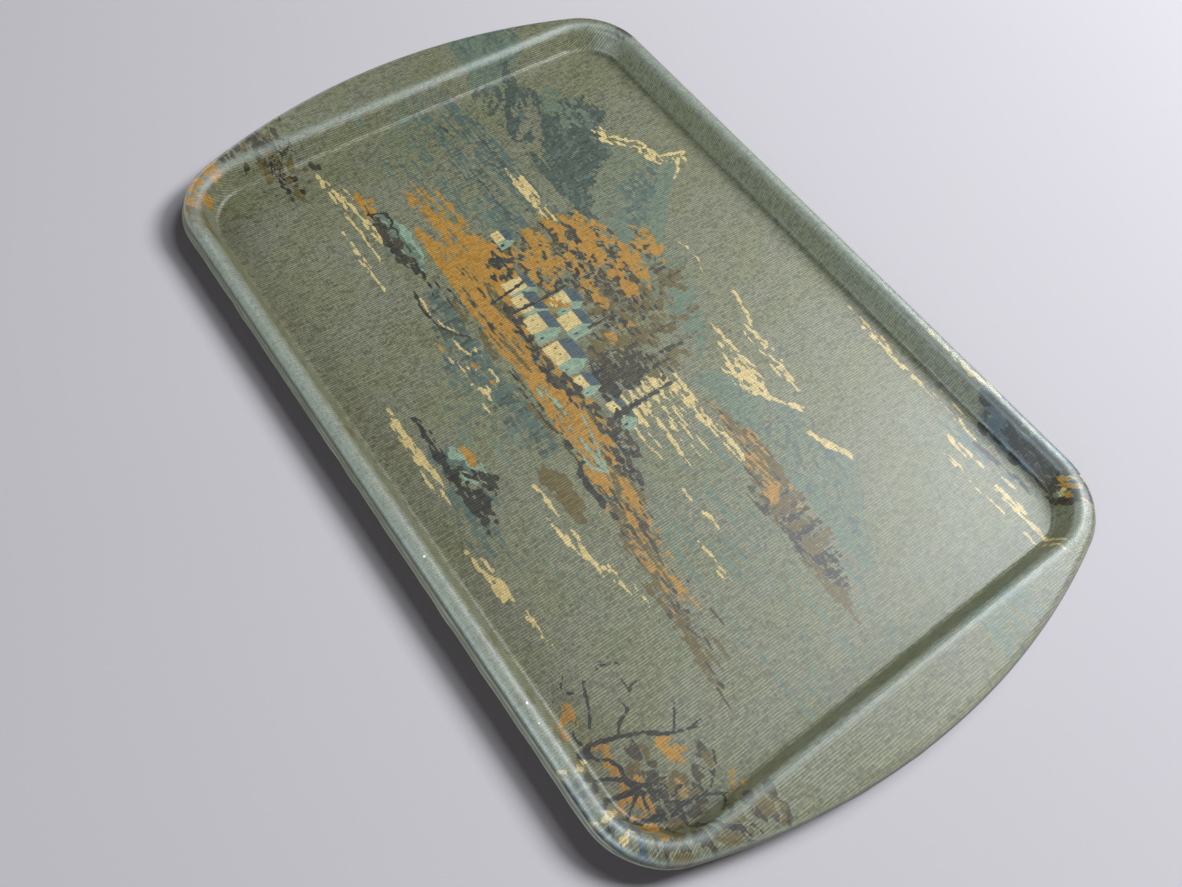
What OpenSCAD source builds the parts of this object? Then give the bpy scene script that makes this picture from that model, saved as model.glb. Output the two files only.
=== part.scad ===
// Serving tray: one thin moulded laminate with a printed cloth face.
// Three plies lie in each other: a clear coat, the printed cloth and the core.
// Millimetres, +Z up. The origin is the middle of the underside of the floor, on the table.
// X runs along the long sides, Y across them.

/* [Outline] */
// Length over the two curved ends
tray_l = 484; // [470:1:520]
// Width over the trimmed edges of the two straight long sides
tray_w = 305; // [292:1:318]
// Radius of the long curve of each end
end_r = 353; // [330:0.5:420]
// Radius of each corner of the rim
corner_r = 40.5; // [34:0.5:48]
// How far the trimmed edge stands out from the rim along the long sides
ledge_w = 2; // [0.5:0.1:3]
// How much wider the level land is at the ends of the well than along its sides
end_land_w = 2.8; // [0:0.1:6]

/* [Section] */
// Height from the table to the crest of the rim
tray_h = 16; // [16:0.5:20]
// Radius of the face where the floor turns up into the wall
fillet_r = 3; // [2:0.5:6]
// Radius of the face where the wall rolls over the crest
crest_r = 5; // [3:0.5:6]
// Radius of the face where the rim rolls down to the skirt
roll_r = 4.5; // [3:0.5:5]
// Width of the level land between the crest and the roll, along the long sides
land_w = 0.3; // [0.2:0.1:4]
// Height of the trimmed edge above the table
trim_z = 9.2; // [6:0.1:9.4]
// Height of the trimmed edge itself, where only the core is left
trim_h = 1.2; // [0.8:0.1:1.4]

/* [Plies] */
// Thickness of the clear coat over the cloth
coat_t = 0.2; // [0.1:0.05:0.3]
// Thickness of the printed cloth
cloth_t = 0.4; // [0.2:0.05:0.5]
// Thickness of the moulded core under the cloth
core_t = 1.4; // [1:0.1:1.6]

/* [Hidden] */
$fn = 96;

// Unit vectors up the wall, which stands about 69 degrees from level, and out through it
up_wall = [0.352, 0.936];
out_of_wall = [up_wall.y, -up_wall.x];
UP = [0, 1];
DOWN = [0, -1];
OUTWARD = [1, 0];

// Derived lengths keep to a thousandth of a millimetre, so that neighbouring stretches meet
function to_micron(length) = round(length * 1000) / 1000;

laminate_t = coat_t + cloth_t + core_t;

// The wall's straight run leaves the fillet and meets the crest along its tangent
wall_rise = tray_h - laminate_t;
bend_sum = fillet_r + crest_r;
wall_len = (wall_rise - bend_sum * (1 - up_wall.x)) / up_wall.y;
wall_run = to_micron(wall_len * up_wall.x + bend_sum * up_wall.y);
floor_corner_r = corner_r - wall_run - land_w - roll_r;

// Rim and trimmed edge share the centres of the end curves and the height of the corners'
// centres. The line from an end's centre through a corner's centre meets the outline where
// the two curves join.
trim_corner_r = corner_r + ledge_w;
corner_y = tray_w / 2 - trim_corner_r;
end_x = tray_l / 2 - end_r;
function end_to_corner(r) = [to_micron(sqrt(pow(end_r - r, 2) - pow(corner_y, 2))), corner_y];
to_rim_corner = end_to_corner(corner_r);
to_trim_corner = end_to_corner(trim_corner_r);
rim_corner_x = end_x + to_rim_corner.x;
well_corner_x = rim_corner_x - end_land_w;

// Wedge of the plan, about the centre of an end's curve, that the end's curve spans
module end_wedge(to_corner) {
    polygon([[0, 0], 2 * [to_corner.x, -to_corner.y], 2 * to_corner]);
}

// Wedge of the plan, about a corner's centre, from the end's curve to the long side
module corner_wedge(to_corner) {
    polygon([[0, 0], to_corner, [to_corner.x, 2 * to_corner.y], [0, 2 * to_corner.y]]);
}

// The part of a ring from one direction to another, about the origin of the section
module ring_arc(inner_r, outer_r, from, to) {
    reach = 2 * outer_r;
    intersection() {
        difference() {
            circle(r = outer_r);
            circle(r = inner_r);
        }
        polygon([[0, 0], reach * from, reach * (from + to), reach * to]);
    }
}

// A layer's section from the floor's edge, up the wall, to the top of the crest.
// A depth counts from the face into the laminate, at right angles to it.
module wall_section(top, bottom) {
    fillet_c = [0, laminate_t + fillet_r];
    crest_c = [wall_run, tray_h - crest_r];
    translate(fillet_c)
        ring_arc(fillet_r + top, fillet_r + bottom, DOWN, out_of_wall);
    polygon([
        fillet_c + (fillet_r + top) * out_of_wall,
        fillet_c + (fillet_r + bottom) * out_of_wall,
        crest_c - (crest_r - bottom) * out_of_wall,
        crest_c - (crest_r - top) * out_of_wall
    ]);
    translate(crest_c)
        ring_arc(crest_r - bottom, crest_r - top, UP, -out_of_wall);
}

// A layer's section from the end of the land, over the roll, down to the trimmed edge
module skirt_section(top, bottom) {
    roll_z = tray_h - roll_r;
    skirt_z = trim_z + trim_h;
    translate([0, roll_z])
        ring_arc(roll_r - bottom, roll_r - top, OUTWARD, UP);
    translate([roll_r - bottom, skirt_z])
        square([bottom - top, roll_z - skirt_z]);
}

// Puts its children, drawn at the corner with positive X and Y, at all four corners
module at_corners(corner_x) {
    for (side = [0, 1], end = [0, 1])
        mirror([end, 0, 0])
            mirror([0, side, 0])
                translate([corner_x, corner_y, 0])
                    children();
}

// Sweeps a section along both long sides, with its start at the given distance
// from the line of the corners' centres
module along_sides(corner_x, start_r) {
    for (side = [0, 1])
        mirror([0, side, 0])
            translate([-corner_x, corner_y + start_r, 0])
                rotate([90, 0, 90])
                    linear_extrude(height = 2 * corner_x)
                        children();
}

// Sweeps a section along both ends of the well, which are straight
module along_straight_ends(start_r) {
    for (end = [0, 1])
        mirror([end, 0, 0])
            translate([well_corner_x + start_r, corner_y, 0])
                rotate([90, 0, 0])
                    linear_extrude(height = 2 * corner_y)
                        children();
}

// Sweeps a section along both ends of the rim, which are curved
module along_curved_ends(start_r) {
    for (end = [0, 1])
        mirror([end, 0, 0])
            translate([end_x, 0, 0])
                intersection() {
                    rotate_extrude()
                        translate([end_r - corner_r + start_r, 0])
                            children();
                    linear_extrude(height = tray_h)
                        end_wedge(to_rim_corner);
                }
}

// Plan of the well's rounded rectangle with corners of the given radius
module well_plan(r) {
    square([2 * well_corner_x, 2 * (corner_y + r)], center = true);
    square([2 * (well_corner_x + r), 2 * corner_y], center = true);
    at_corners(well_corner_x)
        circle(r = r);
}

// Plan of an outline with curved ends, about the given corners' centres
module curved_plan(to_corner, r, curve_r) {
    corner_x = end_x + to_corner.x;
    square([2 * corner_x, 2 * (corner_y + r)], center = true);
    for (end = [0, 1])
        mirror([end, 0])
            translate([end_x, 0])
                intersection() {
                    circle(r = curve_r);
                    end_wedge(to_corner);
                }
    at_corners(corner_x)
        intersection() {
            circle(r = r);
            corner_wedge(to_corner);
        }
}

module rim_plan(inset) {
    curved_plan(to_rim_corner, corner_r - inset, end_r - inset);
}

module trim_plan() {
    curved_plan(to_trim_corner, trim_corner_r, end_r);
}

// The stretches of one layer, between two depths under the face
module floor_layer(top, bottom) {
    translate([0, 0, laminate_t - bottom])
        linear_extrude(height = bottom - top)
            well_plan(floor_corner_r);
}

module wall_layer(top, bottom) {
    along_sides(well_corner_x, floor_corner_r)
        wall_section(top, bottom);
    along_straight_ends(floor_corner_r)
        wall_section(top, bottom);
    at_corners(well_corner_x)
        rotate_extrude(angle = 90)
            translate([floor_corner_r, 0])
                wall_section(top, bottom);
}

module land_layer(top, bottom) {
    translate([0, 0, tray_h - bottom])
        linear_extrude(height = bottom - top)
            difference() {
                rim_plan(roll_r);
                well_plan(floor_corner_r + wall_run);
            }
}

module skirt_layer(top, bottom) {
    start_r = corner_r - roll_r;
    along_sides(rim_corner_x, start_r)
        skirt_section(top, bottom);
    along_curved_ends(start_r)
        skirt_section(top, bottom);
    at_corners(rim_corner_x)
        intersection() {
            rotate_extrude()
                translate([start_r, 0])
                    skirt_section(top, bottom);
            linear_extrude(height = tray_h)
                corner_wedge(to_rim_corner);
        }
}

module layer(top, bottom) {
    floor_layer(top, bottom);
    wall_layer(top, bottom);
    land_layer(top, bottom);
    skirt_layer(top, bottom);
}

// The foot of the skirt, where the moulding was trimmed. The cloth stops on top of it.
module trimmed_edge() {
    translate([0, 0, trim_z])
        linear_extrude(height = trim_h)
            difference() {
                trim_plan();
                rim_plan(laminate_t);
            }
}

module moulded_core() {
    color([0.55, 0.54, 0.46]) {
        layer(coat_t + cloth_t, laminate_t);
        trimmed_edge();
    }
}

module printed_face_cloth() {
    color([0.50, 0.50, 0.40])
        layer(coat_t, coat_t + cloth_t);
}

module clear_face_coat() {
    color([0.85, 0.87, 0.82, 0.3])
        layer(0, coat_t);
}

moulded_core();
printed_face_cloth();
clear_face_coat();
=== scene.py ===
# Looks of the serving tray: a moulded laminate faced with printed linen cloth under a clear coat.
# Plan sizes are in millimetres, as in the CAD model, and become metres where a mesh is made.
import math
import bpy
import numpy as np
from mathutils import Matrix, Vector


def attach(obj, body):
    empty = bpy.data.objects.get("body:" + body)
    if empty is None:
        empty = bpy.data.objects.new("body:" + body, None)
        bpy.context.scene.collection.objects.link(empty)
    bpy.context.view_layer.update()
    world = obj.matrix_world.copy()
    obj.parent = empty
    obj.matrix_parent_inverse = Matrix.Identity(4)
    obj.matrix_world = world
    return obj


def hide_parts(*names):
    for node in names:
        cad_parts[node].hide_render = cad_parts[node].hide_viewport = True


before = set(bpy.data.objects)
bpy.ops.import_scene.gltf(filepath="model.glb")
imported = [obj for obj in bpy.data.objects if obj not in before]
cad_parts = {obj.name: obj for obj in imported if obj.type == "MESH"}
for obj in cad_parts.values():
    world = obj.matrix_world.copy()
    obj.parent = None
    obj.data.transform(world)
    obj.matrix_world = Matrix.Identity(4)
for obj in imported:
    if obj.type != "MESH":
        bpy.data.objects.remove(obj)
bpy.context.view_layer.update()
scene = bpy.context.scene

MM = 0.001
SEED = 41

# The tray's sizes, as in the CAD model
END_R = 353.0
CORNER_R = 40.5
CORNER_Y = 110.0
END_X = 242.0 - END_R
RIM_CORNER_X = 181.5
WELL_CORNER_X = 178.7
LEDGE_W = 2.0
TRAY_H = 16.0
FILLET_R = 3.0
CREST_R = 5.0
ROLL_R = 4.5
LAMINATE = 2.0
SKIN = 0.6
TRIM_Z = 9.2
TRIM_H = 1.2
WALL_RUN = 10.803
FLOOR_CORNER_R = 24.897
OUT_OF_WALL = np.array([0.936, -0.352])

# Where the crest of the long sides begins, from the tray's middle line
CREST_Y = 141.0

# Spacing of the cloth's mesh, which carries the print
STEP = 0.7


# ---------------------------------------------------------------- plan curves

def spaced(length, step):
    return max(2, int(round(length / step)))


END_STEPS = spaced(2 * CORNER_Y, STEP)
SIDE_STEPS = spaced(2 * WELL_CORNER_X, STEP)
CORNER_STEPS = spaced(CORNER_R * math.pi / 2, STEP)


def quarter_spokes():
    """Starts and directions of the spokes that leave the well's inner rectangle: for half an
    end, a corner and half a side, in the quarter with positive X and Y."""
    end = [((WELL_CORNER_X, y), (1.0, 0.0))
           for y in np.linspace(0, CORNER_Y, END_STEPS // 2, endpoint=False)]
    corner = [((WELL_CORNER_X, CORNER_Y), (math.cos(a), math.sin(a)))
              for a in np.linspace(0, math.pi / 2, CORNER_STEPS + 1)]
    side = [((x, CORNER_Y), (0.0, 1.0))
            for x in np.linspace(WELL_CORNER_X, 0, SIDE_STEPS // 2 + 1)[1:]]
    starts, ways = zip(*(end + corner + side))
    return np.array(starts), np.array(ways)


def all_round(quarter, over_x=1, over_y=1):
    """A quarter's values on all four quarters, counter-clockwise from +X. They are multiplied
    by over_x where mirrored left to right, and by over_y where mirrored front to back."""
    half = np.concatenate([quarter, (quarter * over_x)[::-1][1:]])
    return np.concatenate([half, (half * over_y)[::-1][1:-1]])


QUARTER_STARTS, QUARTER_WAYS = quarter_spokes()
STARTS, WAYS = (all_round(q, [-1, 1], [1, -1]) for q in (QUARTER_STARTS, QUARTER_WAYS))
ROUND = len(STARTS)


def reach_to_outline(corner_x, corner_r, end_r):
    """How far each spoke goes before it meets an outline with curved ends."""
    to_corner = corner_x - END_X
    lean = math.atan2(CORNER_Y, to_corner)
    a = np.linspace(0, lean, 400)
    end = np.column_stack([END_X + end_r * np.cos(a), end_r * np.sin(a)])
    a = np.linspace(lean, math.pi / 2, 400)[1:]
    corner = np.column_stack([corner_x + corner_r * np.cos(a), CORNER_Y + corner_r * np.sin(a)])
    side = [(x, CORNER_Y + corner_r) for x in np.linspace(corner_x, WELL_CORNER_X, 20)[1:]]
    outline = np.vstack([end, corner, side])
    turn = np.arctan2(outline[:, 1] - CORNER_Y, outline[:, 0] - WELL_CORNER_X)
    far = np.hypot(outline[:, 0] - WELL_CORNER_X, outline[:, 1] - CORNER_Y)
    x, y = QUARTER_STARTS.T
    wx, wy = QUARTER_WAYS.T
    reach = np.interp(np.arctan2(wy, wx), turn, far)
    reach[x < WELL_CORNER_X] = corner_r
    reach = np.where(y < CORNER_Y, END_X + np.sqrt(end_r ** 2 - y ** 2) - x, reach)
    return all_round(reach)


def rim_reach(inset):
    return reach_to_outline(RIM_CORNER_X, CORNER_R - inset, END_R - inset)


def trim_reach():
    corner_r = CORNER_R + LEDGE_W
    corner_x = END_X + math.sqrt((END_R - corner_r) ** 2 - CORNER_Y ** 2)
    return reach_to_outline(corner_x, corner_r, END_R)


# ---------------------------------------------------------------- section

def arc(centre, radius, start, stop, steps):
    """Points of an arc about a centre, from one direction to another, in degrees."""
    a = np.radians(np.linspace(start, stop, steps + 1))
    return [(centre[0] + radius * math.cos(t), centre[1] + radius * math.sin(t)) for t in a]


def section_rings(depth, foot_z, step):
    """The rings of a layer at a depth under the face, from the floor's edge to its foot.
    Each is (reach of the spokes, height, length of cloth from the floor's edge)."""
    wall_lean = math.degrees(math.atan2(OUT_OF_WALL[1], OUT_OF_WALL[0]))
    fillet = arc((0, LAMINATE + FILLET_R), FILLET_R + depth, -90, wall_lean, spaced(4, step))
    crest = arc((WALL_RUN, TRAY_H - CREST_R), CREST_R - depth, 180 + wall_lean, 90,
                spaced(6, 0.8 * step))
    bottom, top = np.array(fillet[-1]), np.array(crest[0])
    steps = spaced(np.linalg.norm(top - bottom), step)
    wall = [tuple(bottom + (top - bottom) * t) for t in np.linspace(0, 1, steps + 1)[1:-1]]
    rings, run = [], 0.0
    last = fillet[0]
    for r, z in fillet + wall + crest:
        run += math.hypot(r - last[0], z - last[1])
        last = (r, z)
        rings.append((FLOOR_CORNER_R + r, z, run))
    inner, crest_run = rings[-1][0], run
    outer = rim_reach(ROLL_R)
    steps = spaced(23, 1.6 * step)
    for t in np.linspace(0, 1, steps + 1)[1:]:
        rings.append((inner + (outer - inner) * t, TRAY_H - depth, crest_run + (outer - inner) * t))
    roll = arc((0, TRAY_H - ROLL_R), ROLL_R - depth, 90, 0, spaced(7, step))
    steps = spaced(TRAY_H - ROLL_R - foot_z, step)
    skirt = [(ROLL_R - depth, z) for z in np.linspace(TRAY_H - ROLL_R, foot_z, steps + 1)[1:]]
    last, run = roll[0], rings[-1][2]
    for r, z in roll[1:] + skirt:
        run = run + math.hypot(r - last[0], z - last[1])
        last = (r, z)
        rings.append((rim_reach(ROLL_R - r), z, run))
    return rings


def wander(rng, amount, waves):
    """A closed line of gentle unevenness, of about the given size, once round the tray."""
    a = np.linspace(0, 2 * math.pi, ROUND, endpoint=False)
    line = np.zeros(ROUND)
    for n in waves:
        line += rng.normal() * np.sin(n * a + rng.uniform(0, 2 * math.pi)) / math.sqrt(len(waves))
    return amount * line


# ---------------------------------------------------------------- mesh building

def put(name, data):
    """A new object in the scene."""
    thing = bpy.data.objects.new(name, data)
    scene.collection.objects.link(thing)
    return thing


def make_mesh(name, rings):
    mesh = bpy.data.meshes.new(name)
    mesh.from_pydata((np.vstack(rings.points) * MM).tolist(), [], rings.faces)
    mesh.update()
    mesh.shade_smooth()
    return put(name, mesh)


def band_faces(first, second):
    """Quads between two rings of point numbers; where points coincide, triangles."""
    faces = []
    for a, b, c, d in zip(first, second, np.roll(second, -1), np.roll(first, -1)):
        face = [int(a), int(b), int(c), int(d)]
        if a == d:
            face = face[:3]
        faces.append(face)
    return faces


def along_spokes(reach):
    """Where the spokes get to, in plan. The reach is one number or one for each spoke."""
    return STARTS + WAYS * np.broadcast_to(reach, ROUND)[:, None]


class Rings:
    """Rings of points with a band of faces between each and the next."""

    def __init__(self, points=(), faces=(), last=None):
        self.points, self.faces, self.last = list(points), list(faces), last
        self.count = sum(map(len, self.points))

    def add(self, reach, z):
        self.points.append(np.column_stack([along_spokes(reach), np.broadcast_to(z, ROUND)]))
        ring = self.count + np.arange(ROUND)
        if self.last is not None:
            self.faces += band_faces(self.last, ring)
        self.last, self.count = ring, self.count + ROUND

    def close(self, ring):
        self.faces.append([int(n) for n in ring])


def printed_face():
    """The cloth and its coat as one closed skin. Returns the piece and its points on the
    flat cloth, in mm."""
    rng = np.random.default_rng(SEED)
    xs = np.sort(np.unique(np.round(STARTS[:, 0], 6)))
    ys = np.sort(np.unique(np.round(STARTS[:, 1], 6)))
    grid_x, grid_y = np.meshgrid(xs, ys)
    floor = np.column_stack([grid_x.ravel(), grid_y.ravel(), np.full(grid_x.size, LAMINATE)])
    number = np.arange(grid_x.size).reshape(grid_x.shape)
    faces = np.stack([number[:-1, :-1], number[:-1, 1:], number[1:, 1:], number[1:, :-1]], -1)
    i = np.searchsorted(xs, np.round(STARTS[:, 0], 6))
    j = np.searchsorted(ys, np.round(STARTS[:, 1], 6))
    rings = Rings([floor], faces.reshape(-1, 4).tolist(), number[j, i])
    flats = [floor[:, :2]]

    def add(reach, z, flat_reach):
        rings.add(reach, z)
        flats.append(along_spokes(flat_reach))

    for r in np.linspace(0, FLOOR_CORNER_R, spaced(FLOOR_CORNER_R, STEP) + 1)[1:]:
        add(r, LAMINATE, r)
    # In the corners the cloth was drawn outwards, so less of it covers the same way
    drawn = 1 - 1.6 * (WAYS[:, 0] * WAYS[:, 1]) ** 2
    foot = TRIM_Z + TRIM_H + wander(rng, 0.10, range(9, 60, 5))
    outer = section_rings(0, TRIM_Z + TRIM_H, STEP)[1:]
    inner = section_rings(SKIN, TRIM_Z + TRIM_H, 4 * STEP)[::-1]
    for n, (reach, z, run) in enumerate(outer + inner, 1):
        at_foot = n in (len(outer), len(outer) + 1)
        add(reach, foot if at_foot else z, FLOOR_CORNER_R + drawn * run)
    add(FLOOR_CORNER_R - 1, LAMINATE - SKIN, FLOOR_CORNER_R - 1)
    rings.close(rings.last)
    return make_mesh("printed_face", rings), np.vstack(flats)


def moulded_core():
    """The stiff body under the cloth, with its trimmed edge standing out along the sides."""
    rng = np.random.default_rng(SEED + 1)
    rings = Rings()
    rings.add(FLOOR_CORNER_R - 1, LAMINATE - SKIN)
    top = rings.last
    for reach, z, run in section_rings(SKIN, TRIM_Z + TRIM_H, 2 * STEP):
        rings.add(reach, z)
    ragged = wander(rng, 0.16, range(5, 90, 3))
    uneven = wander(rng, 0.10, range(4, 60, 5))
    # Corners of the trimmed edge are slightly rounded by the sanding
    edge = trim_reach() + ragged
    top_z, low_z = TRIM_Z + TRIM_H, TRIM_Z + uneven
    for inset, z in ((0.45, top_z), (0.15, top_z - 0.12), (0.0, top_z - 0.4),
                     (0.0, low_z + 0.3), (0.12, low_z + 0.08), (0.4, low_z)):
        rings.add(edge - inset, z)
    for n, (reach, z, run) in enumerate(section_rings(LAMINATE, TRIM_Z, STEP)[::-1]):
        rings.add(reach, z + (uneven if n == 0 else 0))
    rings.add(FLOOR_CORNER_R - 1, 0.0)
    rings.close(rings.last)
    rings.close(top[::-1])
    return make_mesh("resin_core", rings)


def face_bends(places):
    """1 on the crest and the roll, where the face bends outwards, down to 0 on level parts."""
    x, y = np.abs(places[:, 0]), np.abs(places[:, 1])
    past_x, past_y = np.maximum(x - WELL_CORNER_X, 0), np.maximum(y - CORNER_Y, 0)
    out = np.hypot(past_x, past_y) - FLOOR_CORNER_R
    on_crest = 1 - np.clip(np.abs(out - WALL_RUN + 1.5) / 3.5, 0, 1)
    rolled = np.clip((TRAY_H - 0.05 - places[:, 2]) / 1.5, 0, 1) * (out > WALL_RUN)
    return np.maximum(on_crest, rolled)


def add_values(piece, name, values):
    """Keeps one number or one vector for each point of the piece."""
    values = np.asarray(values, dtype=np.float32)
    kind = "FLOAT" if values.ndim == 1 else "FLOAT_VECTOR"
    layer = piece.data.attributes.new(name, kind, "POINT")
    layer.data.foreach_set("value" if kind == "FLOAT" else "vector", values.ravel())


# ---------------------------------------------------------------- the print

# Inks as they look on the cloth in flat light, in sRGB from 0 to 255
INKS = {
    "haze": (92, 112, 94),
    "lake": (74, 95, 87),
    "slate": (56, 72, 65),
    "pale": (130, 154, 130),
    "olive": (92, 78, 32),
    "gold": (168, 119, 22),
    "cream": (206, 182, 120),
    "roof": (56, 76, 88),
    "umber": (48, 37, 21),
    "charcoal": (9, 10, 12),
}


def layered_noise(rng, shape, sizes):
    """Smooth noise around 0 with a spread of 1. sizes are the (rows, columns) of cells that
    each layer's lumps measure."""
    total = np.zeros(shape)
    for weight, (tall, wide) in enumerate(sizes, 1):
        rows, cols = int(shape[0] / tall) + 3, int(shape[1] / wide) + 3
        lumps = rng.normal(size=(rows, cols))
        r, c = np.arange(shape[0]) / tall, np.arange(shape[1]) / wide
        i, j = r.astype(int), c.astype(int)
        fr, fc = (r - i)[:, None], (c - j)[None, :]
        fr, fc = fr * fr * (3 - 2 * fr), fc * fc * (3 - 2 * fc)
        top = lumps[i][:, j] * (1 - fc) + lumps[i][:, j + 1] * fc
        low = lumps[i + 1][:, j] * (1 - fc) + lumps[i + 1][:, j + 1] * fc
        total += (top * (1 - fr) + low * fr) / weight
    return total / total.std()


def within(outline, x, y):
    """Whether points lie inside an outline."""
    inside = np.zeros(np.broadcast(x, y).shape, bool)
    for (ax, ay), (bx, by) in zip(outline, np.roll(outline, -1, 0)):
        crosses = (ay > y) != (by > y)
        inside ^= crosses & (x < ax + (y - ay) * (bx - ax) / (by - ay if by != ay else 1e-9))
    return inside


def from_segment(x, y, start, end):
    """How far along a segment points lie, from 0 to 1, and how far they are from it."""
    (ax, ay), (bx, by) = start, end
    dx, dy = bx - ax, by - ay
    t = np.clip(((x - ax) * dx + (y - ay) * dy) / (dx * dx + dy * dy + 1e-9), 0, 1)
    return t, np.hypot(x - ax - t * dx, y - ay - t * dy)


class Print:
    """The inks' cover over the flat cloth, on a fine grid. Sizes are in mm of the tray's plan."""

    CELL = 0.4
    HALF_L = 262.0
    HALF_W = 172.0

    def __init__(self, rng):
        self.rng = rng
        self.xs = np.arange(-self.HALF_L, self.HALF_L, self.CELL)
        self.ys = np.arange(-self.HALF_W, self.HALF_W, self.CELL)
        shape = (len(self.ys), len(self.xs))
        self.cover = {ink: np.zeros(shape) for ink in INKS}
        # Brush marks lie level, so their raggedness is wider than it is tall
        self.ragged = layered_noise(rng, shape, [(2.5, 7), (5, 16), (11, 30)])

    def window(self, x0, x1, y0, y1):
        c0, c1 = np.searchsorted(self.xs, [x0, x1])
        r0, r1 = np.searchsorted(self.ys, [y0, y1])
        cut = (slice(r0, r1), slice(c0, c1))
        return cut, self.xs[None, c0:c1], self.ys[r0:r1, None]

    def lay(self, ink, cut, distance, ragged, soft=0.9, strength=1.0):
        """Prints where the distance, in mm, is below nothing, over what is there. With no ink
        it leaves the cloth bare."""
        rough = distance + ragged * self.ragged[cut]
        new = np.clip(0.5 - rough / soft, 0, 1) * strength
        for cover in self.cover.values():
            cover[cut] *= 1 - new
        if ink:
            self.cover[ink][cut] += new

    def dab(self, ink, x, y, half_l, half_w, tilt=0.0, ragged=0.5, **how):
        """One touch of the brush, pointed at both ends."""
        pad = half_l + 2
        cut, gx, gy = self.window(x - pad, x + pad, y - pad, y + pad)
        ct, st = math.cos(tilt), math.sin(tilt)
        u, v = (gx - x) * ct + (gy - y) * st, (gy - y) * ct - (gx - x) * st
        distance = (np.sqrt((u / half_l) ** 2 + (v / half_w) ** 2) - 1) * half_w
        self.lay(ink, cut, distance, min(ragged, 0.8 * half_w), **how)

    def area(self, ink, corners, ragged=0.8, **how):
        """A filled shape with the given corners."""
        pts = np.array(corners, float)
        (x0, y0), (x1, y1) = pts.min(0) - 4, pts.max(0) + 4
        cut, gx, gy = self.window(x0, x1, y0, y1)
        sides = zip(pts, np.roll(pts, -1, 0))
        gap = np.minimum.reduce([from_segment(gx, gy, *side)[1] for side in sides])
        self.lay(ink, cut, gap * np.where(within(pts, gx, gy), -1, 1), ragged, **how)

    def line(self, ink, points, width, end_width=None, ragged=0.3, **how):
        """A brush line through the points, whose width goes from width to end_width."""
        pts = np.array(points, float)
        end_width = width if end_width is None else end_width
        (x0, y0), (x1, y1) = pts.min(0) - width - 2, pts.max(0) + width + 2
        cut, gx, gy = self.window(x0, x1, y0, y1)
        gaps = []
        for n, stretch in enumerate(zip(pts, pts[1:])):
            t, gap = from_segment(gx, gy, *stretch)
            gaps.append(gap - 0.5 * (width + (end_width - width) * (n + t) / (len(pts) - 1)))
        self.lay(ink, cut, np.minimum.reduce(gaps), min(ragged, 0.3 * width), **how)

    def streaks(self, ink, count, x0, x1, y0, y1, length, height, **how):
        """Level dabs spread over a box, as light on water."""
        for _ in range(count):
            half = 0.5 * length * self.rng.uniform(0.4, 1.3)
            self.dab(ink, self.rng.uniform(x0, x1), self.rng.uniform(y0, y1), half,
                     0.5 * height * self.rng.uniform(0.5, 1.4),
                     self.rng.normal(0, 0.03), **how)

    def grain(self, ink, count, corners, length, height, tilt=0.0, spread=0.04, **how):
        """Strokes spread over a filled shape, all at about the same tilt."""
        pts = np.array(corners, float)
        (x0, y0), (x1, y1) = pts.min(0), pts.max(0)
        while count > 0:
            x, y = self.rng.uniform(x0, x1), self.rng.uniform(y0, y1)
            if within(pts, x, y):
                count -= 1
                self.dab(ink, x, y, 0.5 * length * self.rng.uniform(0.4, 1.3),
                         0.5 * height * self.rng.uniform(0.5, 1.4),
                         tilt + self.rng.normal(0, spread), **how)

    def crown(self, lit, shade, clumps, x, y, half_l, half_w, size):
        """A tree's crown. Each clump of leaves is lit above and dark beneath, and the lower
        clumps stand in front of the higher ones."""
        a = self.rng.uniform(0, 2 * math.pi, clumps)
        r = self.rng.uniform(0, 1, clumps) ** 0.6
        for cy, cx in sorted(zip(y + half_w * r * np.sin(a), x + half_l * r * np.cos(a)),
                             reverse=True):
            wide = size * self.rng.uniform(0.6, 1.3)
            for ink, low, strokes in ((shade, 0.42, 7), (lit, 0.0, 11)):
                for u in self.rng.normal(0, 0.45, strokes):
                    self.dab(ink, cx + u * wide,
                             cy - (low + 0.3 * abs(u) + self.rng.normal(0, 0.13)) * wide,
                             self.rng.uniform(0.16, 0.36) * wide,
                             self.rng.uniform(0.07, 0.15) * wide,
                             self.rng.normal(-0.5 * u, 0.5), ragged=0.3, soft=0.6)

    def leaves(self, ink, count, x, y, half_l, half_w, size, lean, **how):
        """Dabs clustered about a point, thickest in the middle."""
        for _ in range(count):
            a, r = self.rng.uniform(0, 2 * math.pi), self.rng.uniform(0, 1) ** 0.6
            half = 0.5 * size * self.rng.uniform(0.5, 1.5)
            self.dab(ink, x + half_l * r * math.cos(a), y + half_w * r * math.sin(a),
                     half, half * self.rng.uniform(0.35, 0.65),
                     self.rng.normal(0, lean), **how)

    def craggy(self, points, rough):
        """The line through the points, broken up into smaller and smaller crags."""
        pts = [np.array(p, float) for p in points]
        for _ in range(4):
            finer = [pts[0]]
            for a, b in zip(pts, pts[1:]):
                mid = (a + b) / 2
                mid[1] += self.rng.normal() * rough * np.linalg.norm(b - a)
                finer += [mid, b]
            pts = finer
        return [tuple(p) for p in pts]

    def mountain(self, ink, ridge, foot, rough=0.07, **how):
        """Everything from a ridge down to a level foot."""
        line = self.craggy(ridge, rough)
        self.area(ink, line + [(line[-1][0], foot), (line[0][0], foot)], **how)

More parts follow.
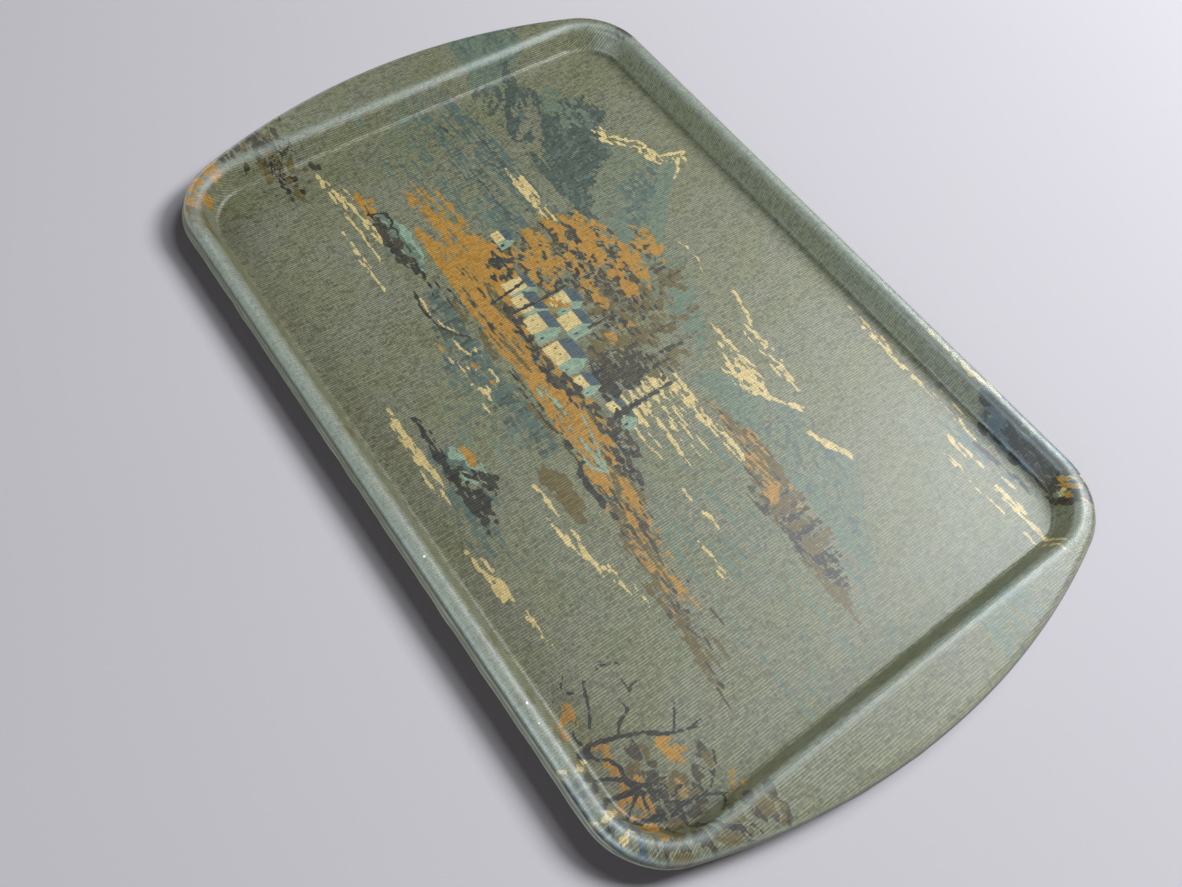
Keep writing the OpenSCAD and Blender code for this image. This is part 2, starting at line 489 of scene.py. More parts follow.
    def conifer(self, ink, x, foot, top, half_w, count=40, **how):
        """A slender tree of level dabs that get shorter towards its top."""
        for _ in range(count):
            t = self.rng.uniform(0, 1)
            half = 0.5 * half_w * (1.15 - t) * self.rng.uniform(0.5, 1.2)
            self.dab(ink, x + self.rng.normal(0, 0.35) * half, foot + (top - foot) * t,
                     max(half, 0.7), self.rng.uniform(0.7, 1.3), self.rng.normal(0, 0.2), **how)

    def branch(self, ink, x, y, length, heading, width, forks=2):
        """A crooked twig that divides."""
        pts, angle = [(x, y)], heading
        for _ in range(4):
            angle += self.rng.normal(0, 0.35)
            x, y = x + length / 4 * math.cos(angle), y + length / 4 * math.sin(angle)
            pts.append((x, y))
        self.line(ink, pts, width, 0.45 * width)
        if forks:
            for at, side in ((2, 1), (3, -1)):
                turn = angle + side * self.rng.uniform(0.5, 0.9)
                self.branch(ink, *pts[at], 0.6 * length, turn, 0.6 * width, forks - 1)

    def house(self, x, y, wall_w, wall_h, roof_h):
        """A cottage: a lit long wall, a shaded gable to its right and a slate roof."""
        split, right = x + 0.6 * wall_w, x + wall_w
        eaves, peak = y + wall_h, (x + 0.8 * wall_w, y + wall_h + roof_h)
        self.area("cream", [(x, y), (split, y), (split, eaves), (x, eaves)], 0.2)
        self.area("pale", [(split, y), (right, y), (right, eaves), peak, (split, eaves)], 0.2)
        back = (x + 0.12 * wall_w, eaves + roof_h)
        self.area("roof", [(x - 1, eaves), (split, eaves), peak, back], 0.25)
        for at in (0.25, 0.6):
            self.dab("charcoal", x + at * (split - x), y + 0.6 * wall_h, 0.7, 0.55, math.pi / 2,
                     ragged=0.1, strength=0.8)
        self.dab("charcoal", split + 0.5 * (right - split), y + 0.35 * wall_h, 1.2, 0.6,
                 math.pi / 2, ragged=0.1)


def far_mountains(p):
    """Hazy ranges, one dark slope, and light on their ridges."""
    p.mountain("haze", [(-262, 58), (-238, 80), (-222, 84), (-204, 68), (-186, 54), (-168, 42)], 37,
               ragged=1.2, strength=0.8)
    p.grain("lake", 60, [(-256, 60), (-224, 78), (-204, 62), (-180, 42), (-256, 40)], 14, 1.6, -0.5,
            0.2, strength=0.5)
    peak = [(-152, 74), (-134, 92), (-114, 104), (-98, 123), (-86, 112), (-72, 96), (-58, 78),
            (-44, 66), (-26, 72), (-8, 62), (8, 48), (30, 40)]
    p.mountain("haze", peak, 37, ragged=0.9, strength=0.45)
    p.grain("haze", 110, [(-98, 120), (-72, 94), (-44, 64), (0, 56), (30, 40), (-70, 40), (-84, 70)],
            18, 2.6, -0.75, 0.25, strength=0.75)
    p.grain("lake", 70, [(-98, 104), (-84, 92), (-60, 62), (-62, 54), (-84, 70), (-96, 82)],
            9, 1.5, -0.85, 0.25, strength=0.75)
    p.grain("lake", 40, [(-96, 84), (-84, 84), (-82, 72), (-96, 70)], 5, 1.3, 0.3, 0.6)
    slope = [(-206, 56), (-192, 74), (-176, 80), (-163, 98), (-149, 103), (-139, 89), (-122, 87),
             (-111, 70), (-100, 56), (-84, 47), (-76, 43)]
    p.mountain("slate", slope, 37, 0.10, ragged=1.4, strength=0.92)
    face = slope + [(-76, 38), (-200, 38)]
    p.grain("lake", 150, face, 12, 2.2, -0.7, 0.5, strength=0.7)
    p.grain("slate", 90, face, 10, 1.5, -0.9, 0.4, strength=0.9)
    p.grain(None, 60, [(-200, 62), (-176, 70), (-132, 46), (-128, 40), (-204, 40)], 15, 2.4, -0.5, 0.3,
            strength=0.75)
    p.grain("haze", 30, [(-190, 84), (-150, 96), (-150, 72), (-176, 66)], 10, 2.4, 0.4, 0.4,
            strength=0.6)
    for n in range(14):
        p.dab("slate", -212 + 4 * n, 70 - 2.2 * n + p.rng.normal(0, 2.5), 6, 1.6, -0.5)
    # The foot of the mountains fades into the lake in level streaks
    p.streaks(None, 70, -256, 30, 36, 41, 26, 1.8, strength=0.7)
    light = p.craggy([(-140, 92), (-124, 99), (-108, 106), (-97, 123)], 0.16)
    p.line("cream", light, 1.6, 2.2, 0.8)
    for x, y in light[::3]:
        p.dab("cream", x + 3, y - 3.0, p.rng.uniform(2, 5), 0.7, 0.6)
    p.line("cream", [(-97, 122), (-92, 114), (-88, 112), (-83, 105)], 2.2, 0.8, 0.7)
    p.line("cream", p.craggy([(-42, 77), (-28, 79), (-18, 75)], 0.10), 1.2, 0.6, 0.5)


def right_range(p):
    """Lower peaks across the water, and bright cloud above them."""
    p.line("cream", p.craggy([(2, 81), (22, 76), (40, 71), (64, 70)], 0.07), 1.7, 1.0, 0.8)
    p.streaks("cream", 9, 30, 64, 66, 74, 12, 1.1)
    p.grain("cream", 34, [(16, 58), (50, 57), (66, 52), (60, 42), (44, 41), (30, 49)], 19, 1.0,
            -0.03, 0.06)
    ridge = [(34, 36), (58, 48), (82, 63), (98, 54), (116, 67), (130, 57), (150, 42), (168, 32)]
    p.mountain("haze", ridge, 24, 0.06, ragged=0.9, strength=0.6)
    p.grain(None, 40, [(60, 46), (82, 56), (116, 60), (150, 38), (80, 30)], 16, 2.2, -0.4, 0.3,
            strength=0.5)
    p.line("lake", p.craggy([(82, 63), (98, 54), (116, 67), (130, 57), (150, 42), (168, 32)], 0.06),
           1.4, 1.0, 0.7, strength=0.7)
    p.grain("lake", 80, [(82, 60), (98, 52), (116, 64), (132, 52), (160, 32), (70, 28)], 9, 1.5,
            -0.7, 0.3, strength=0.65)
    p.streaks(None, 26, 34, 166, 23, 27, 22, 1.5, strength=0.7)
    for x, y, w in ((56, 47, 5), (64, 51, 5), (72, 56, 5), (78, 60, 4)):
        p.dab("cream", x, y, w, 1.0, 0.55)
    for x, y, w in ((96, 56, 5), (104, 59, 7), (111, 62, 5), (115, 64, 3)):
        p.dab("cream", x, y, w, 1.6, 0.35)


def open_water(p):
    """Level streaks of deeper and of lit water."""
    p.streaks("haze", 90, -215, -90, -35, 36, 46, 1.9, strength=0.6)
    p.streaks("lake", 90, -205, -92, -4, 32, 44, 1.4, strength=0.85)
    p.streaks("slate", 26, -190, -92, 4, 30, 30, 1.0, strength=0.8)
    p.streaks("lake", 44, -190, -110, -40, -8, 26, 1.0, strength=0.7)
    p.streaks("haze", 80, 25, 195, -46, 22, 40, 1.8, strength=0.6)
    p.streaks("lake", 22, 60, 150, -36, 2, 20, 1.0, strength=0.5)
    p.streaks("cream", 12, -128, -96, 21, 29, 26, 0.8)
    p.streaks("cream", 38, 17, 62, -22, 20, 26, 0.9)
    p.grain("cream", 24, [(16, 20), (60, 19), (34, 2), (30, -22), (18, -20)], 16, 1.0, 0.0, 0.03)
    p.streaks("cream", 9, 50, 120, 14, 19, 44, 0.8)
    for x, y, w in ((96, -19, 11), (122, -32, 9), (60, 4, 12), (45, -28, 8)):
        p.streaks("cream", 4, x - w, x + w, y - 1.5, y + 1.5, w, 1.0)


def far_shore(p):
    """A low wooded point in the middle distance."""
    land = [(48, 22), (64, 27), (82, 31), (101, 30), (116, 25), (136, 22), (112, 20), (76, 20)]
    p.area("olive", land, 0.8)
    p.grain("gold", 30, land, 9, 1.1, 0.05)
    p.grain("umber", 22, land, 8, 0.9, 0.0)
    point = [(84, 20), (104, 22), (130, 19), (156, 12), (184, 5), (150, 5), (112, 7), (92, 14)]
    p.area("olive", point, 0.9)
    p.grain("umber", 40, point, 9, 1.1)
    p.grain("gold", 26, [(84, 20), (104, 22), (128, 17), (120, 11), (96, 13)], 8, 1.1, 0.1)
    for _ in range(34):
        x = p.rng.uniform(98, 168)
        top = 12 + 22 * math.exp(-((x - 130) / 26) ** 2) * p.rng.uniform(0.5, 1)
        p.conifer(p.rng.choice(["olive", "umber", "olive", "charcoal"]), x, 8, top, 3.6, 20)
    p.crown("gold", "umber", 7, 108, 15, 14, 5, 4.5)
    p.streaks("umber", 20, 96, 165, 5, 10, 16, 1.2)
    p.streaks("charcoal", 10, 108, 160, 6, 9, 11, 0.8)
    p.streaks("olive", 12, 150, 178, 3, 9, 12, 1.1)


def island(p):
    """The near bank, its trees and the cottages under them."""
    bank = [(-156, -35), (-124, -27), (-104, -16), (-86, -10), (-60, -14), (-30, -22), (8, -26),
            (40, -29), (68, -38), (104, -49), (122, -56), (86, -60), (40, -56), (-12, -52),
            (-62, -50), (-112, -48), (-128, -44), (-112, -37)]
    p.area("gold", bank, 1.5)
    p.streaks("gold", 22, -150, -96, -38, -16, 24, 1.2)
    p.streaks(None, 18, -150, -100, -42, -28, 22, 1.1, strength=0.85)
    p.grain("olive", 130, [(-98, -38), (-60, -24), (60, -32), (110, -52), (90, -59), (-60, -50)],
            24, 1.2)
    p.grain("umber", 60, [(-98, -40), (-40, -26), (60, -34), (104, -52), (60, -57), (-60, -49)],
            18, 0.8)
    p.grain("gold", 70, [(-80, -40), (20, -34), (90, -50), (60, -56), (-60, -48)], 26, 1.0)
    p.grain("pale", 14, [(-20, -44), (30, -42), (60, -48), (40, -56), (-10, -52)], 22, 0.9)
    spit = [(56, -44), (96, -50), (136, -59), (178, -70), (150, -69), (110, -64), (70, -58)]
    p.area("olive", spit, 1.2, strength=0.95)
    p.grain("gold", 36, [(50, -44), (96, -51), (122, -57), (108, -61), (66, -57)], 18, 1.2, -0.1)
    p.grain("umber", 40, spit, 12, 1.0, -0.15)
    p.streaks("olive", 30, 84, 158, -68, -54, 17, 1.1)
    p.streaks("gold", 16, 84, 130, -64, -52, 14, 1.0)
    p.streaks("umber", 18, 60, 150, -64, -46, 14, 0.9)
    # Trees at the back, then the golden one
    for x, y, w, h in ((-24, 40, 13, 22), (-36, 16, 18, 16), (-6, 8, 12, 22), (-76, 12, 18, 24),
                       (-86, 0, 8, 12), (-2, 32, 6, 20), (18, 20, 5, 16), (-26, 58, 5, 8)):
        p.leaves("olive", int(w * h / 5), x, y, w, h, 5, 0.7, strength=0.9)
        p.crown("olive", "umber", int(w * h / 26), x, y, w, h, 6)
    for x, top, half in ((-1, 58, 6), (12, 46, 6), (-27, 68, 5), (-37, 62, 5)):
        p.conifer("olive", x, -14, top, half, 80)
        p.conifer("umber", x + 1, -14, top - 4, 0.8 * half, 26)
    for x, top, half in ((6, 12, 9), (12, 30, 9), (17, 22, 8), (10, -4, 12)):
        p.conifer("charcoal", x, -22, top, half, 60)
    p.leaves("umber", 50, 9, -6, 13, 18, 3.5, 0.6)
    p.crown("umber", "charcoal", 12, 8, -4, 12, 16, 5)
    p.leaves("umber", 90, -62, 26, 28, 26, 3.5, 0.9)
    for x, y, w, h in ((-51, 62, 10, 7), (-46, 48, 16, 7), (-66, 44, 14, 5), (-84, 36, 8, 6),
                       (-58, 32, 24, 7), (-84, 22, 11, 5), (-38, 34, 12, 5), (-52, 16, 18, 5),
                       (-76, 9, 14, 6), (-88, -2, 6, 7), (-66, -3, 14, 5), (-36, 14, 9, 4)):
        p.crown("gold", "umber", max(4, int(w * h / 9)), x, y, w, h, 7.5)
    p.leaves("charcoal", 44, -52, 16, 26, 26, 2.6, 0.8)
    p.leaves("charcoal", 30, -20, 20, 9, 22, 3, 0.5)
    p.leaves("gold", 10, -9, 8, 6, 12, 3, 0.5)
    for spot in ((-104, -12, 13, 6, 4), (-71, -26, 15, 12, 4), (-50, -11, 15, 12, 5),
                 (-60, -27, 20, 8, 6), (-36, -14, 17, 11, 5), (-45, -31, 19, 11, 6),
                 (-24, -31, 22, 10, 7), (0, -29, 14, 6, 5), (22, -23, 19, 5, 4)):
        p.house(*spot)
    p.grain("gold", 14, [(-62, -8), (-40, -2), (-38, -12), (-60, -16)], 5, 1.6, -0.3, 0.5)
    p.line("charcoal", [(-51, 22), (-52, 4), (-51, -16), (-52, -35)], 0.9, 2.2)
    p.line("charcoal", [(-67, -11), (-65, -22), (-63, -37)], 1.0, 2.0)
    p.line("charcoal", [(-52, 3), (-45, 11), (-38, 14)], 0.9, 0.6)
    p.line("umber", [(-22, 14), (-22, -2)], 1.4, 1.8)
    p.conifer("charcoal", 30, -24, 19, 4, 30)
    p.line("charcoal", [(30, 18), (30, -27)], 0.6, 1.2)
    for x, y, w, h in ((-45, -32, 14, 3), (-16, -36, 16, 3), (8, -32, 12, 4), (38, -28, 18, 4),
                       (-82, -20, 9, 7), (58, -36, 12, 3)):
        p.leaves("umber", int(w * h / 2), x, y, w, h, 4, 0.2)
        p.leaves("charcoal", int(w * h / 2.5), x + 2, y - 1, w, h, 3, 0.25)
    p.line("pale", [(20, -37), (38, -41), (54, -46), (48, -50), (34, -52)], 1.0, 2.0, 0.5)


def near_water(p):
    """What the island shows in the water, and the islets in front of it."""
    for _ in range(230):
        x = p.rng.uniform(-88, 30)
        deep = -62 - 26 * math.exp(-((x + 20) / 45) ** 2) * p.rng.uniform(0.2, 1)
        p.dab(p.rng.choice(["lake", "slate"]), x, 0.5 * (deep - 56), 0.5 * (-54 - deep),
              p.rng.uniform(0.6, 1.6), math.pi / 2 + p.rng.normal(0, 0.04), strength=0.8)
    p.streaks(None, 34, -88, 26, -92, -62, 12, 0.8, strength=0.7)
    p.streaks("charcoal", 26, -88, 60, -56, -51, 22, 0.9)
    p.streaks("olive", 16, -80, 40, -57, -52, 18, 1.0)
    p.streaks("cream", 30, -52, -6, -76, -60, 6, 1.2)
    p.streaks("gold", 9, -52, -10, -80, -56, 6, 1.2)
    p.streaks("roof", 16, -55, -10, -78, -60, 7, 1.0)
    p.line("charcoal", [(-92, -68), (-80, -70.5), (-66, -69), (-56, -64), (-50, -58)], 1.6, 1.0)
    p.line("cream", [(-86, -67.5), (-74, -68.5), (-64, -66.5), (-57, -62.5)], 1.2, 0.8)
    # Left islet
    p.leaves("pale", 40, -128, -56, 26, 5, 10, 0.2)
    p.leaves("haze", 20, -128, -58, 26, 4, 8, 0.2)
    p.leaves("gold", 12, -158, -59, 9, 4, 7, 0.2)
    for n in range(5):
        x = -152 + 11 * n
        p.line("charcoal", p.craggy([(x, -62), (x + 8, -53 - n), (x + 24, -61)], 0.12), 1.4, 0.8)
    p.leaves("umber", 14, -128, -61, 24, 3, 8, 0.1)
    p.streaks("charcoal", 10, -150, -96, -64, -60, 20, 1.4)
    p.streaks("cream", 14, -182, -120, -73, -63, 24, 1.0)
    p.streaks("cream", 5, -140, -100, -82, -79, 26, 0.8)
    # Lower islet
    p.streaks("lake", 18, -10, 60, -114, -108, 24, 1.4)
    p.leaves("lake", 34, 18, -102, 20, 7, 7, 0.3)
    p.leaves("pale", 34, 16, -101, 14, 6, 5, 0.5)
    p.leaves("gold", 12, 8, -97, 6, 3, 4, 0.4)
    p.area("charcoal", [(-26, -109), (-4, -107), (10, -108), (34, -109), (52, -112), (30, -113),
                        (2, -112)], 0.9)
    p.leaves("charcoal", 40, 34, -107, 14, 4, 5, 0.5)
    p.crown("charcoal", "charcoal", 5, 24, -96, 6, 4, 5)
    p.grain("charcoal", 16, [(8, -106), (20, -98), (24, -100), (14, -108)], 5, 1.1, 0.8, 0.4)
    p.grain("cream", 22, [(-34, -117), (-10, -114), (22, -117), (26, -121), (-8, -124)], 22, 1.0)
    p.streaks("lake", 16, 20, 62, -124, -114, 14, 1.4)
    p.streaks("cream", 10, 56, 76, -126, -118, 14, 1.6)
    p.streaks("cream", 4, 88, 104, -121, -118, 14, 1.0)
    # Reeds and lit water to the right
    p.leaves("olive", 26, 52, -70, 16, 4, 9, 0.1)
    p.leaves("charcoal", 18, 62, -57, 18, 3, 5, 0.3)
    for x, y in ((82, -80), (118, -71), (46, -79), (102, -75), (74, -84)):
        p.streaks("cream", 4, x - 8, x + 8, y - 1.5, y + 1.5, 13, 1.1)
    p.streaks("haze", 24, -20, 150, -98, -70, 30, 1.8, strength=0.5)


def corner_sprigs(p):
    """Foliage and rocks that run over the rim in the corners."""
    for x, y, w, h in ((196, -112, 12, 14), (184, -118, 16, 10), (208, -126, 14, 12),
                       (222, -100, 9, 20), (186, -92, 5, 4), (230, -84, 5, 7)):
        p.leaves("umber", int(w * h / 9), x, y, w, h, 6, 0.3)
        p.leaves("olive", int(w * h / 11), x, y, w, h, 6, 0.3)
    for x, y, w, h in ((178, -103, 9, 4), (183, -128, 11, 7), (164, -129, 9, 3), (204, -89, 6, 4),
                       (140, -131, 6, 3), (192, -108, 4, 2), (198, -131, 8, 4), (146, -138, 6, 2),
                       (240, -128, 12, 6), (226, -146, 10, 6)):
        p.leaves("gold", int(w * h / 3), x, y, w, h, 5, 0.3)
    for x, y, length, heading, width in ((158, -141, 46, 1.75, 2.4), (168, -141, 32, 1.1, 2.4),
                                         (178, -141, 28, 1.5, 3.0), (176, -126, 24, 2.5, 1.9),
                                         (199, -120, 34, 1.5, 2.1), (214, -114, 24, 0.9, 2.2),
                                         (150, -126, 26, 2.6, 1.8), (192, -136, 16, 0.8, 2.0)):
        p.branch("charcoal", x, y, length, heading, width)
    for x, ink in ((160, "cream"), (166, "charcoal"), (171, "charcoal"), (178, "charcoal"),
                   (184, "cream"), (189, "charcoal"), (196, "cream")):
        p.line(ink, p.craggy([(x, -139), (x + 2, -150), (x - 1, -166)], 0.05), 3.0, 3.6, 0.7)
    p.leaves("roof", 20, 200, -146, 12, 7, 6, 0.4)
    p.leaves("charcoal", 22, 216, -150, 14, 10, 6, 0.5)
    # Left end and lower left corner
    for x, y, w, h in ((-206, -88, 26, 9), (-222, -96, 18, 10), (-236, -84, 14, 12),
                       (-198, -72, 5, 5)):
        p.leaves("umber", int(w * h / 12), x, y, w, h, 6, 0.2)
        p.leaves("olive", int(w * h / 14), x, y, w, h, 6, 0.2)
    for x, y, length, heading in ((-246, -92, 34, 0.2), (-226, -98, 30, 0.5), (-212, -84, 24, -0.3)):
        p.branch("charcoal", x, y, length, heading, 1.2)
    for x, y, w, h, ink in ((-222, -124, 10, 9, "gold"), (-206, -140, 14, 8, "gold"),
                            (-232, -112, 9, 8, "umber"), (-212, -150, 20, 8, "gold"),
                            (-236, -132, 12, 10, "olive"), (-226, -148, 12, 10, "cream"),
                            (-240, -120, 6, 6, "cream"), (-186, -150, 14, 7, "olive")):
        p.leaves(ink, int(w * h / 5), x, y, w, h, 6, 0.3)
    p.leaves("roof", 14, -232, -140, 10, 10, 5, 0.5)
    p.leaves("charcoal", 14, -224, -138, 14, 12, 5, 0.6)
    # Rocks in the upper right corner
    p.leaves("roof", 90, 164, 148, 34, 14, 11, 0.15)
    p.leaves("umber", 46, 184, 143, 24, 10, 9, 0.15)
    p.leaves("charcoal", 34, 158, 144, 28, 12, 8, 0.2)
    p.leaves("cream", 30, 204, 150, 16, 16, 6, 1.2)
    p.leaves("gold", 10, 196, 140, 14, 6, 6, 0.3)
    p.leaves("charcoal", 22, 210, 152, 16, 16, 5, 0.9)
    p.streaks("cream", 13, 56, 130, 126, 131, 30, 0.9)
    p.streaks("cream", 10, 120, 196, 122, 134, 16, 1.1)
    p.streaks("lake", 22, 116, 200, 118, 134, 18, 1.2)
    p.streaks("cream", 13, 142, 212, 105, 118, 26, 1.0)
    p.streaks("charcoal", 9, 148, 180, 124, 128, 14, 1.3)
    # Touches on the rest of the rim
    p.leaves("umber", 22, -205, 152, 22, 9, 7, 0.5)
    p.streaks("lake", 26, -250, -222, 40, 84, 16, 1.6, strength=0.6)
    p.streaks("haze", 26, 214, 242, 44, 76, 20, 2.6, strength=0.7)
    p.streaks("lake", 14, 214, 246, 40, 74, 16, 1.4, strength=0.8)
    for x in (-30, 96, 128, 147, 158, 176):
        p.leaves("olive", 9, x + p.rng.normal(0, 2), -150, 2.5, 8, 4, 1.4)
    p.streaks("cream", 8, 90, 170, 152, 160, 16, 1.6)


def painted_cloth():
    """The whole print: an autumn lake under mountains."""
    p = Print(np.random.default_rng(SEED + 2))
    for part in (far_mountains, right_range, open_water, far_shore, island, near_water,
                 corner_sprigs):
        part(p)
    return p


def sampled(p, flat):
    """Every ink's cover at points of the flat cloth."""
    u = np.clip((flat[:, 0] + p.HALF_L) / p.CELL, 0, len(p.xs) - 1.001)
    v = np.clip((flat[:, 1] + p.HALF_W) / p.CELL, 0, len(p.ys) - 1.001)
    i, j = v.astype(int), u.astype(int)
    fv, fu = v - i, u - j
    out = {}
    for ink, c in p.cover.items():
        low = c[i, j] * (1 - fu) + c[i, j + 1] * fu
        top = c[i + 1, j] * (1 - fu) + c[i + 1, j + 1] * fu
        out[ink] = low * (1 - fv) + top * fv
    return out


# ---------------------------------------------------------------- materials

# Colours in sRGB from 0 to 255. Each pair is (dark, light).
YELLOW_GROUND = ((40, 42, 26), (150, 152, 114))
GREY_GROUND = ((40, 42, 30), (152, 153, 124))
PALE_SLUB = (196, 196, 158)
# A painted reflection for the crest and the bends of the rim
PAINTED_BEND_SHEEN = (172, 182, 177)
# Painted shade for the skirt's outer face
SKIRT_PAINTED_SHADE = (28, 29, 22)
CHIPPED = (226, 228, 220)
CORE_RESIN = ((96, 94, 78), (118, 116, 99))
GLASS_STRAND = (150, 148, 132)
TABLE = ((222, 221, 229), (226, 226, 231))

# Distance between neighbouring threads, in mm, along X and along Y
THREAD_PITCH = (0.66, 0.64)
# How far the threads wander, in mm
SWAY = 1.2


def linear(color):
    """sRGB from 0 to 255 as linear colour with alpha."""
    part = [c / 255 for c in color]
    return [c / 12.92 if c <= 0.04045 else ((c + 0.055) / 1.055) ** 2.4 for c in part] + [1.0]


class Shader:
    """A material's node tree, with short ways to add to it."""

    def __init__(self, name):
        self.material = bpy.data.materials.new(name)
        self.material.use_nodes = True
        self.tree = self.material.node_tree
        self.tree.nodes.clear()

    def add(self, kind, sockets=None, **settings):
        node = self.tree.nodes.new("ShaderNode" + kind)
        for key, value in settings.items():
            setattr(node, key, value)
        for key, value in (sockets or {}).items():
            if isinstance(value, bpy.types.NodeSocket):
                self.tree.links.new(value, node.inputs[key])
            else:
                node.inputs[key].default_value = value
        return node

    def math(self, operation, *values):
        return self.add("Math", dict(enumerate(values)), operation=operation).outputs[0]

    def plus(self, first, second):
        return self.math("ADD", first, second)

    def minus(self, first, second):
        return self.math("SUBTRACT", first, second)

    def times(self, first, second):
        return self.math("MULTIPLY", first, second)

    def total(self, *parts):
        """The sum of values times their weights."""
        out = 0.0
        for value, weight in parts:
            out = self.plus(out, self.times(value, weight))
        return out

    def ramp(self, value, low, high, out_low=0.0, out_high=1.0):
        """Goes smoothly from out_low to out_high while the value goes from low to high."""
        sockets = {"Value": value, "From Min": low, "From Max": high,
                   "To Min": out_low, "To Max": out_high}
        return self.add("MapRange", sockets, interpolation_type="SMOOTHSTEP").outputs["Result"]

    def mix(self, factor, first, second):
        """A colour that goes from the first to the second while the factor goes from 0 to 1."""
        return self.add("Mix", {0: factor, 6: first, 7: second}, data_type="RGBA").outputs[2]

    def shades(self, factor, pair):
        return self.mix(factor, linear(pair[0]), linear(pair[1]))

    def point(self, x, y, z=0.0):
        return self.add("CombineXYZ", {"X": x, "Y": y, "Z": z}).outputs[0]

    def noise(self, at, scale=1.0, detail=1.0, roughness=0.5):
        sockets = {"Vector": at, "Scale": scale, "Detail": detail, "Roughness": roughness}
        return self.add("TexNoise", sockets).outputs["Fac"]

    def value(self, name):
        """A value that the piece keeps for each of its points."""
        return self.add("Attribute", attribute_name=name).outputs["Fac"]

    def bump(self, height, distance, strength):
        sockets = {"Height": height, "Distance": distance, "Strength": strength}
        return self.add("Bump", sockets).outputs[0]

    def finish(self, **sockets):
        named = {key.replace("_", " "): value for key, value in sockets.items()}
        surface = self.add("BsdfPrincipled", named)
        self.add("OutputMaterial", {"Surface": surface.outputs[0]})
        return self.material


def threads(s, across, along, pitch):
    """The number of the thread at each place, and its roundness: 1 at its middle, 0 at its
    sides."""
    sway = s.times(s.minus(s.noise(s.point(across, along), 0.03, 2.0), 0.5), SWAY)
    count = s.math("DIVIDE", s.plus(across, sway), pitch)
    return s.math("FLOOR", count), s.math("SINE", s.times(s.math("FRACT", count), math.pi))


def printed(s, ground, break_up, shade):
    """The ground with every ink over it. Inks' edges break up on the threads."""
    color = ground
    for ink, rgb in INKS.items():
        cover = s.value("ink_" + ink)
        cover = s.ramp(s.plus(cover, s.times(break_up, s.ramp(cover, 0.0, 0.3))), 0.38, 0.62)
        tint = s.add("VectorMath", {0: linear(rgb)[:3], "Scale": shade}, operation="SCALE")
        color = s.mix(s.times(cover, 0.94), color, tint.outputs[0])
    return color


def cloth_material():
    """Printed linen weave seen through clear resin."""
    s = Shader("printed_cloth")
    at = s.add("Attribute", attribute_name="flat_cloth").outputs["Vector"]
    axes = s.add("SeparateXYZ", {"Vector": at})
    u, v = axes.outputs["X"], axes.outputs["Y"]
    index_u, round_u = threads(s, u, v, THREAD_PITCH[0])
    index_v, round_v = threads(s, v, u, THREAD_PITCH[1])
    # Yarn of uneven thickness. The slubs that run the tray's short way lie on every other thread.
    yarn_u = s.noise(s.point(s.times(index_u, 3.7), s.times(v, 0.16)))
    yarn_v = s.noise(s.point(s.times(u, 0.30), s.times(index_v, 4.3), 9.0))
    every_other = s.math("GREATER_THAN", s.math("FRACT", s.times(index_u, 0.5)), 0.25)
    slub_u = s.times(s.ramp(yarn_u, 0.35, 0.58), s.times(round_u, every_other))
    slub_v = s.times(s.ramp(yarn_v, 0.55, 0.70), round_v)
    # Threads the other way change their tone every few mm, and gaps between threads are darker
    fleck = s.ramp(s.noise(s.point(s.times(u, 0.30), s.times(index_v, 5.3), 7.0)), 0.40, 0.60)
    cell = s.add("TexWhiteNoise", {"Vector": s.point(index_u, index_v)}, noise_dimensions="2D")
    cell = cell.outputs["Value"]
    dome = s.times(round_u, round_v)
    light = s.total((slub_u, 0.36), (fleck, 0.15), (cell, 0.20), (dome, 0.28))
    patch = s.ramp(s.noise(s.point(u, v), 0.03, 3.0), 0.40, 0.60)
    ground = s.mix(patch, s.shades(light, YELLOW_GROUND), s.shades(light, GREY_GROUND))
    edge = s.noise(s.point(s.times(u, 0.8), s.times(v, 1.5), 3.0), 0.8, 3.0, 0.6)
    break_up = s.total((s.minus(edge, 0.5), 0.55), (s.minus(cell, 0.5), 0.30))
    color = printed(s, ground, break_up, s.plus(0.38, s.times(light, 1.15)))
    # Slubs show through the inks a little
    pale = s.math("MAXIMUM", slub_u, s.times(slub_v, 0.45))
    color = s.mix(s.times(pale, 0.08), color, linear(PALE_SLUB))
    # Over the crest and the rim's bends the cloth is painted paler and bluish grey: a painted
    # reflection of the soft light
    bend_sheen = s.value("bend_sheen")
    color = s.mix(s.times(bend_sheen, 0.34), color, linear(PAINTED_BEND_SHEEN))
    # Down the skirt the cloth is painted darker: painted shade on its outward faces
    color = s.mix(s.times(s.value("skirt"), 0.62), color, linear(SKIRT_PAINTED_SHADE))
    # Chips in the coat along the crest
    spots = s.add("TexVoronoi", {"Vector": at, "Scale": 0.09, "Randomness": 1.0})
    on_crest = s.ramp(s.plus(s.value("crest"), s.times(s.minus(edge, 0.5), 0.6)), 0.75, 0.9)
    chip = s.times(s.ramp(spots.outputs["Distance"], 0.07, 0.045), on_crest)
    color = s.mix(chip, color, linear(CHIPPED))
    # Weave and slubs stand up under the coat, which is smoother than they are
    tone = s.ramp(s.total((yarn_u, 0.7), (yarn_v, 0.3)), 0.36, 0.64)
    height = s.total((dome, 1.0), (slub_u, 0.5), (slub_v, 0.5), (tone, 0.8))
    swell = s.noise(s.point(u, v, 5.0), 0.35, 3.0, 0.6)
    weave = s.bump(height, 0.00005, 0.9)
    coat = s.bump(s.total((height, 0.3), (swell, 2.0)), 0.00006, 0.8)
    rough = s.plus(0.45, s.total((s.minus(cell, 0.5), 0.16), (bend_sheen, -0.14)))
    return s.finish(Base_Color=color, Roughness=rough, Normal=weave, IOR=1.55,
                    Coat_Weight=0.25, Coat_Roughness=0.30, Coat_IOR=1.5, Coat_Normal=coat)


